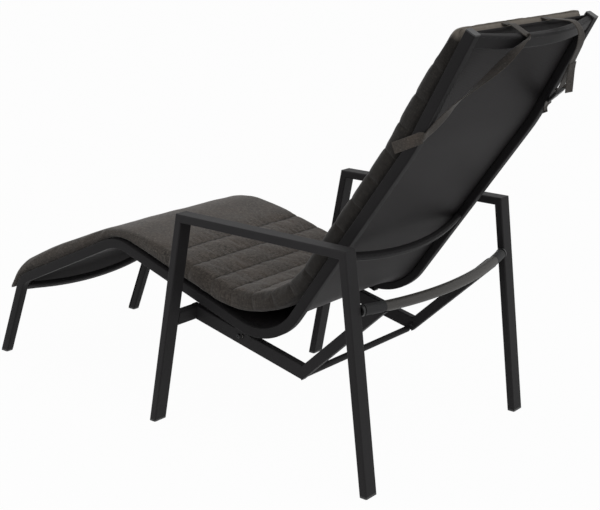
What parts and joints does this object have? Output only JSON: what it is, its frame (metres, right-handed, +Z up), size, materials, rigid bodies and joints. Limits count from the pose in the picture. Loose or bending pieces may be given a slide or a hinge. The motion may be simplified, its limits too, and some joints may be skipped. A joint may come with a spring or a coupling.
{
  "type": "sun lounger",
  "caption": "Tilting sun lounger: arm frames carry an S-bent sling seat on two pivots, with a full-length quilted cushion strapped to its back.",
  "frame": {"origin": "middle of the whole lounger on the floor it stands on", "axes": "+Z up; +Y towards the head end; +X towards the sitter's left"},
  "size_m": [0.68, 1.6076, 1.0343],
  "materials": {
    "frame": "fine-textured matt powder coat, anthracite",
    "sling": "coated mesh weave, dark grey",
    "cushion": "woven melange, grey-brown",
    "webbing": "flat woven webbing, black",
    "plastic": "fine-grained, black",
    "rubber": "matt, dark grey",
    "bush": "natural, slightly waxy",
    "fasteners": "zinc-plated"
  },
  "bodies": {
    "base": {"front_leg_left": "frame", "front_leg_right": "frame", "armrest_left": "frame", "armrest_right": "frame", "rear_leg_left": "frame", "rear_leg_right": "frame", "stub_left": "frame", "stub_right": "frame", "v_front_arm_left": "frame", "v_front_arm_right": "frame", "v_rear_arm_left": "frame", "v_rear_arm_right": "frame", "apex_crossbar": "frame", "rear_bow_bar": "frame", "bow_bar_sleeve": "rubber", "bumper_sleeves": "rubber", "bow_bar_collars": "plastic", "frame_glides": "plastic", "apex_screws": "fasteners", "pivot_bushes": "bush", "v_bar_caps": "plastic"},
    "seat": {"rail_left": "frame", "rail_right": "frame", "foot_crossbar": "frame", "lower_back_crossbar": "frame", "top_bar": "frame", "pivot_bracket_left": "frame", "pivot_bracket_right": "frame", "pivot_bolts": "fasteners", "pivot_nuts": "fasteners", "pivot_washers": "fasteners", "rail_caps": "plastic", "seat_glides": "plastic", "sling": "sling", "keder_rods": "plastic", "cushion": "cushion", "strap_left": "webbing", "strap_right": "webbing", "strap_tail": "webbing", "strap_buckle": "plastic"}
  },
  "joints": [
    {"name": "seat_tilt", "type": "hinge", "parent": "base", "child": "seat", "pos_m": [0, 0.11071, 0.25], "axis": [-1, 0, 0], "range_deg": [0, 16.6]}
  ]
}
